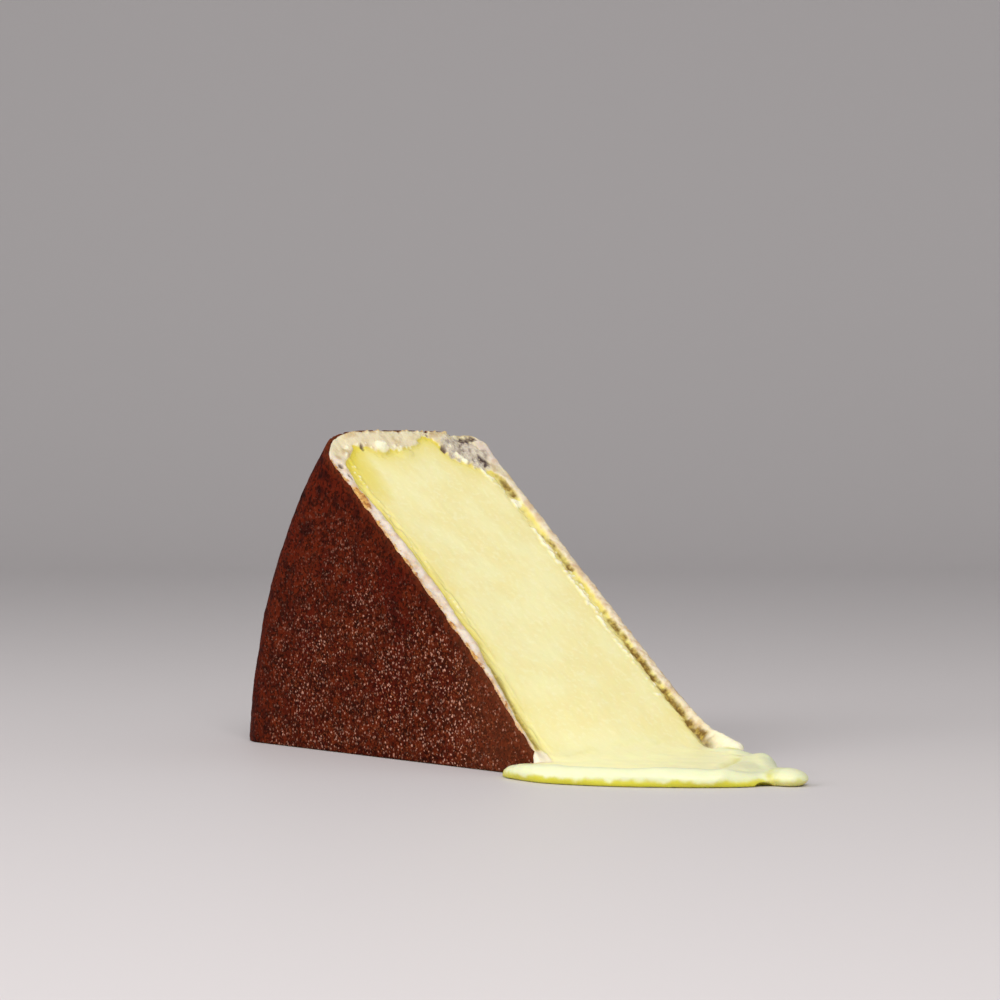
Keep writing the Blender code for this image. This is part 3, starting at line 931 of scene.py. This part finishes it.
def rind_material():
    """Dark red-brown washed rind: near-black hollows and many small pale specks on a red-brown ground; the
    specks are partly grains of the rind and partly painted glints.
    """
    nodes = Nodes("washed_rind")
    fine = nodes.noise(1.0, 4.0)
    cloudy = nodes.noise(15.0, 4.0)
    colour = nodes.mix(tone(60, 12, 1), tone(90, 29, 6), nodes.ramp(nodes.noise(2.6, 5.0), 0.32, 0.68))
    colour = nodes.mix(colour, tone(72, 12, 2), nodes.math("MULTIPLY", nodes.ramp(cloudy, 0.46, 0.64), 0.7))
    colour = nodes.tinted(colour, tone(96, 28, 9), "redder", 0.45)
    mottle = nodes.math("MULTIPLY", nodes.ramp(nodes.noise(4.6, 4.0), 0.47, 0.66), nodes.mask("mottle"))
    colour = nodes.mix(colour, tone(42, 8, 4), mottle)
    hollows = nodes.ramp(fine, 0.5, 0.62)
    colour = nodes.mix(colour, tone(26, 5, 1), nodes.math("MULTIPLY", hollows, 0.7))
    bent = nodes.warped(0.9, 0.55)
    faint = nodes.specks(bent, 0.8, 0.5, 0.4, 0.75)
    small = nodes.specks(bent, 1.1, 0.4, 0.46, 0.75)
    large = nodes.specks(bent, 1.9, 0.28, 0.48, 0.7)
    dense = nodes.mask("specks")
    # Pale specks: partly grains of the rind, partly painted glints.
    colour = nodes.mix(colour, tone(132, 72, 42), nodes.math("MULTIPLY", faint, dense))
    pale_specks_and_glints = nodes.math("MULTIPLY", nodes.math("MAXIMUM", small, large), dense)
    colour = nodes.mix(colour, tone(214, 160, 138), pale_specks_and_glints)
    # Tan on the skin: its own colour along the cut, and painted bounce light towards the toe.
    colour = nodes.tinted(colour, tone(124, 66, 38), "crust_edge_and_painted_toe_bounce", 0.5)
    nodes.join(colour, nodes.shader.inputs["Base Color"])
    nodes.join(nodes.mix(0.55, 0.8, fine), nodes.shader.inputs["Roughness"])
    nodes.shader.inputs["Specular IOR Level"].default_value = 0.04
    low = nodes.relief(nodes.noise(3.4, 3.0), 0.5)
    nodes.join(nodes.relief(nodes.math("SUBTRACT", pale_specks_and_glints, hollows), 0.22, low), nodes.shader.inputs["Normal"])
    return nodes.material


def paste_material():
    """Smooth pale yellow melted cheese, with the pale band, browned groove and mould at its edges."""
    nodes = Nodes("melted_paste")
    cloudy = nodes.noise(13.0, 3.0)
    flecks = nodes.noise(1.6, 3.0)
    stains = nodes.noise(4.5, 4.0)
    colour = nodes.mix(tone(241, 231, 168), tone(243, 237, 181), nodes.ramp(cloudy, 0.35, 0.65))
    light = nodes.math("MULTIPLY", nodes.ramp(flecks, 0.5, 0.68), 0.5)
    colour = nodes.mix(colour, tone(247, 242, 196), light)
    # Painted light: the run's pool is painted lighter to make up for the weaker light on its flat top.
    colour = nodes.mix(colour, tone(249, 246, 190), nodes.mask("pool"))
    colour = nodes.tinted(colour, tone(224, 206, 52), "yellow", 0.9)
    band = nodes.mask("band")
    creamy = nodes.mix(tone(228, 216, 182), tone(206, 184, 142), nodes.ramp(stains, 0.44, 0.68))
    pinkish = nodes.mix(tone(230, 216, 200), tone(214, 188, 162), nodes.ramp(stains, 0.42, 0.66))
    spotted = nodes.math("MULTIPLY", nodes.mask("far"), nodes.ramp(flecks, 0.4, 0.68))
    pinkish = nodes.mix(pinkish, tone(188, 148, 114), spotted)
    colour = nodes.mix(colour, nodes.mix(creamy, pinkish, nodes.mask("pink")), band)
    browned = nodes.mix(tone(122, 92, 30), tone(184, 156, 70), nodes.ramp(flecks, 0.44, 0.68))
    colour = nodes.mix(colour, browned, nodes.mask("crust"))
    furry = nodes.mix(tone(211, 201, 182), tone(170, 156, 144), nodes.ramp(flecks, 0.42, 0.68))
    colour = nodes.mix(colour, furry, nodes.mask("mould"))
    colour = nodes.tinted(colour, tone(62, 38, 40), "dark", 0.92)
    # Brown in the pits: partly their own colour, partly painted shade in the holes.
    colour = nodes.tinted(colour, tone(86, 54, 24), "pit_colour_and_shade", 0.85)
    # Whitish fat on the beads, the blob and the band's lower ends: partly its own colour, partly painted
    # glints.
    colour = nodes.tinted(colour, tone(250, 246, 218), "bead_and_glint", 0.85)
    tan = nodes.mix(tone(206, 158, 86), tone(156, 100, 46), nodes.ramp(flecks, 0.42, 0.64))
    colour = nodes.mix(colour, tan, nodes.mask("crumbs"))
    colour = nodes.tinted(colour, tan, "edge", 0.8)
    colour = nodes.tinted(colour, tone(219, 225, 189), "roll", 0.85)
    # Olive-yellow: the yellow lines in the run's creases, and painted shade on the lobe's left tip.
    colour = nodes.tinted(colour, tone(206, 200, 70), "creases_and_lobe_shade", 0.7)
    colour = nodes.tinted(colour, tone(208, 202, 20), "low_edge", 0.9)
    nodes.join(colour, nodes.shader.inputs["Base Color"])
    wet = nodes.math("MAXIMUM", nodes.mask("groove"), nodes.mask("bead_and_glint"))
    dull = nodes.math("MAXIMUM", nodes.mask("mould"), nodes.mask("crust"))
    roughness = nodes.mix(0.36, 0.16, wet)
    roughness = nodes.mix(roughness, 0.62, dull)
    nodes.join(roughness, nodes.shader.inputs["Roughness"])
    nodes.shader.inputs["Specular IOR Level"].default_value = 0.3
    nodes.shader.inputs["Subsurface Weight"].default_value = 0.35
    nodes.shader.inputs["Subsurface Radius"].default_value = (1.0, 0.7, 0.25)
    nodes.shader.inputs["Subsurface Scale"].default_value = 0.004
    soft = nodes.relief(nodes.noise(6.0, 2.0, (0.4, 1.0, 1.0)), 0.2)
    grainy = nodes.math("MAXIMUM", dull, nodes.math("MULTIPLY", band, 0.35))
    rough = nodes.math("MULTIPLY", nodes.noise(0.8, 3.0), grainy)
    nodes.join(nodes.relief(rough, 0.45, soft), nodes.shader.inputs["Normal"])
    return nodes.material


def plain_material(name, colour, roughness):
    """A material of one colour, for the floor."""
    nodes = Nodes(name)
    nodes.shader.inputs["Base Color"].default_value = (*colour, 1.0)
    nodes.shader.inputs["Roughness"].default_value = roughness
    return nodes.material


def floor():
    """A wide pale floor that curves up behind the wedge."""
    profile = [(FLOOR_START, 0.0), (FLOOR_BEND, 0.0)]
    for angle in np.linspace(0.1, math.pi / 2, 14):
        rise = BEND_RADIUS * (1 - math.cos(angle))
        profile.append((FLOOR_BEND + BEND_RADIUS * math.sin(angle), rise))
    profile.append((FLOOR_BEND + BEND_RADIUS, WALL_HEIGHT))
    mesh = bpy.data.meshes.new("floor")
    build = bmesh.new()
    ahead = Vector((CAMERA_AIM[0], CAMERA_AIM[1], 0.0)).normalized()
    side = Vector((-ahead.y, ahead.x, 0.0))
    rows = []
    for far, height in profile:
        middle = ahead * far + Vector((0.0, 0.0, height - FLOOR_DROP))
        rows.append([build.verts.new(middle + side * reach) for reach in (-FLOOR_REACH, FLOOR_REACH)])
    for near, beyond in zip(rows, rows[1:]):
        build.faces.new((near[0], near[1], beyond[1], beyond[0]))
    bmesh.ops.recalc_face_normals(build, faces=build.faces)
    build.to_mesh(mesh)
    build.free()
    mesh.shade_smooth()
    obj = bpy.data.objects.new("floor", mesh)
    bpy.context.scene.collection.objects.link(obj)
    obj.data.materials.append(plain_material("pale_floor", tone(206, 202, 204), 0.55))


def area_light(name, place, size, power, colour):
    """A soft square light at place, which shines at the middle of the wedge. Place and size are in metres."""
    lamp = bpy.data.lights.new(name, "AREA")
    lamp.size = size
    lamp.energy = power
    lamp.color = colour
    obj = bpy.data.objects.new(name, lamp)
    obj.location = place
    middle = Vector((0.0, 0.0, 0.04))
    obj.rotation_euler = (middle - Vector(place)).to_track_quat("-Z", "Y").to_euler()
    bpy.context.scene.collection.objects.link(obj)


def lights():
    """A broad light from the right of the camera, a weaker one from its left and an even sky."""
    area_light("key", place=(0.75, -0.6, 0.85), size=0.7, power=9.5, colour=(1.0, 0.97, 0.94))
    area_light("fill", place=(-0.3, -1.05, 0.6), size=0.8, power=6.4, colour=(1.0, 0.97, 0.96))
    world = bpy.context.scene.world or bpy.data.worlds.new("studio")
    bpy.context.scene.world = world
    world.use_nodes = True
    sky = world.node_tree.nodes["Background"]
    sky.inputs["Color"].default_value = (1.0, 0.99, 0.97, 1.0)
    sky.inputs["Strength"].default_value = 0.5


def camera():
    """The photograph's view."""
    data = bpy.data.cameras.new("camera")
    data.lens = FOCAL_LENGTH
    data.sensor_width = SENSOR_WIDTH
    data.clip_start = 0.01
    obj = bpy.data.objects.new("camera", data)
    obj.location = Vector(TOE) + Vector(CAMERA_PLACE) / 1000
    obj.rotation_euler = Vector(CAMERA_AIM).to_track_quat("-Z", "Y").to_euler()
    bpy.context.scene.collection.objects.link(obj)
    bpy.context.scene.camera = obj


camera()
lights()
floor()
bpy.context.scene.view_settings.view_transform = "Standard"
for piece, material in ((rind_piece(), rind_material()), (paste_piece(), paste_material())):
    piece.data.shade_smooth()
    piece.data.materials.append(material)
    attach(piece, "root")
    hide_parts("cheese_wedge")
